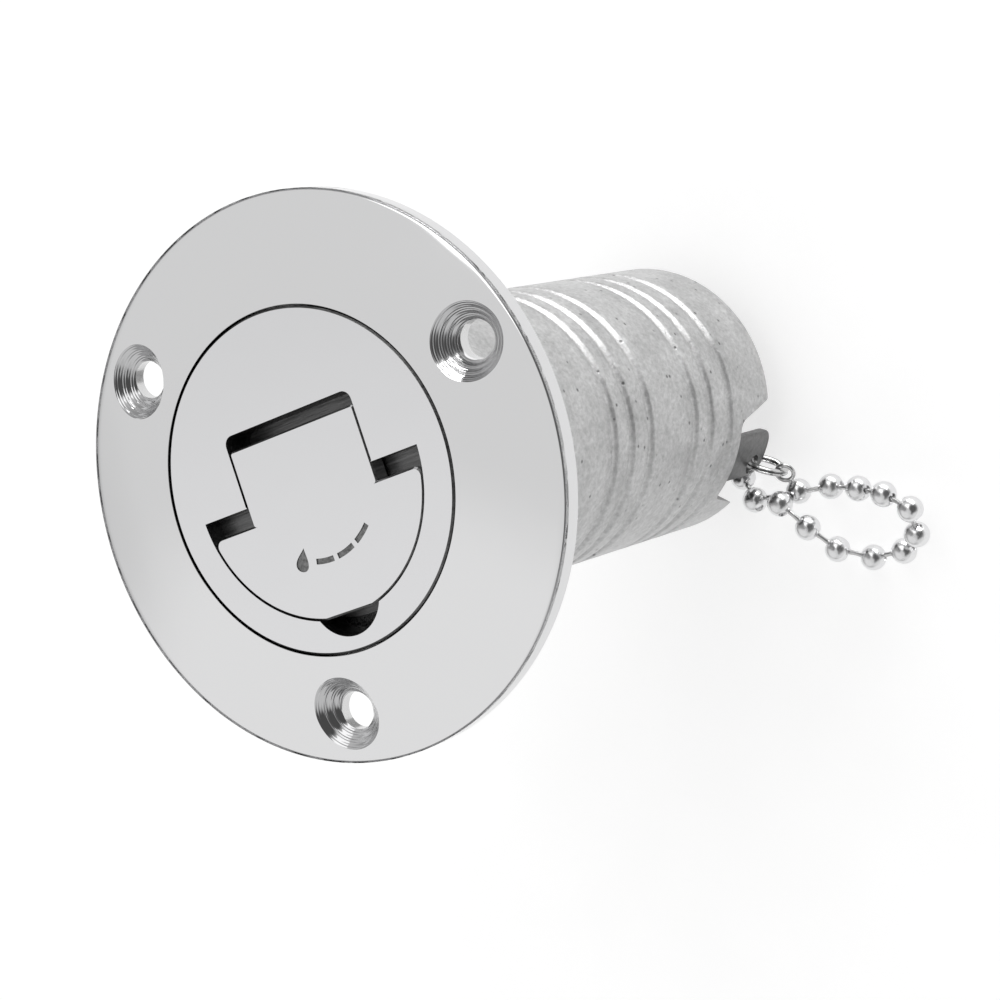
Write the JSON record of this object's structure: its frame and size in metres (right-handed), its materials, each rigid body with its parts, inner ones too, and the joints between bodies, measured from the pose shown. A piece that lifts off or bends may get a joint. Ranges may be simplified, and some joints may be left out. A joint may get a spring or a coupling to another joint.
{
  "type": "deck fill cap",
  "caption": "Flush round deck filler with a countersunk flange, a screw-in cap with a flip-up handle, a grooved hose tail and a retaining ball chain.",
  "frame": {"origin": "centre of the flange's underside, which lies on the deck's surface", "axes": "+Z out of the deck along the filler's axis; X along the handle's hinge pin; finger notch towards -Y"},
  "size_m": [0.0909, 0.089, 0.1159],
  "materials": {
    "cast_steel": "mirror-polished flange, rough-cast satin hose tail",
    "polished_steel": "mirror polished",
    "handle_steel": null,
    "pin_steel": "ground",
    "seal_rubber": "matt black",
    "screw_steel": "turned",
    "strap_steel": "pressed sheet, satin",
    "ball_steel": "nickel bright",
    "link_steel": "drawn wire",
    "ring_steel": "drawn wire, bright"
  },
  "bodies": {
    "deck_body": {"filler_body": "cast_steel"},
    "chain_swivel": {"swivel_strap": "strap_steel", "inner_balls": "ball_steel", "inner_links": "link_steel"},
    "cap": {"screw_cap": "polished_steel", "cap_o_ring": "seal_rubber", "swivel_screw": "screw_steel", "handle_pin": "pin_steel"},
    "handle": {"cap_handle": "handle_steel"},
    "chain_loop": {"lug_ring": "ring_steel", "chain_eye": "link_steel", "loop_balls": "ball_steel", "loop_links": "link_steel"}
  },
  "joints": [
    {"name": "cap_lift", "type": "slide", "parent": "deck_body", "child": "chain_swivel", "axis": [0, 0, 1], "range_m": [0, 0.012], "deforming": ["inner_balls", "inner_links"]},
    {"name": "cap_turn", "type": "hinge", "parent": "chain_swivel", "child": "cap", "pos_m": [0, 0, 0], "axis": [0, 0, 1], "range_deg": [0, 1440]},
    {"name": "handle_flip", "type": "hinge", "parent": "cap", "child": "handle", "pos_m": [0, 0.0045, 0.0048], "axis": [-1, 0, 0], "range_deg": [0, 90]},
    {"name": "chain_swing", "type": "hinge", "parent": "deck_body", "child": "chain_loop", "pos_m": [0.0172, -0.0182, -0.1036], "axis": [-0.6157, -0.788, 0], "range_deg": [-90, 30]}
  ],
  "couplings": [
    {"joint": "cap_lift", "follows": "cap_turn", "m_per_rad": 0.00047746}
  ]
}
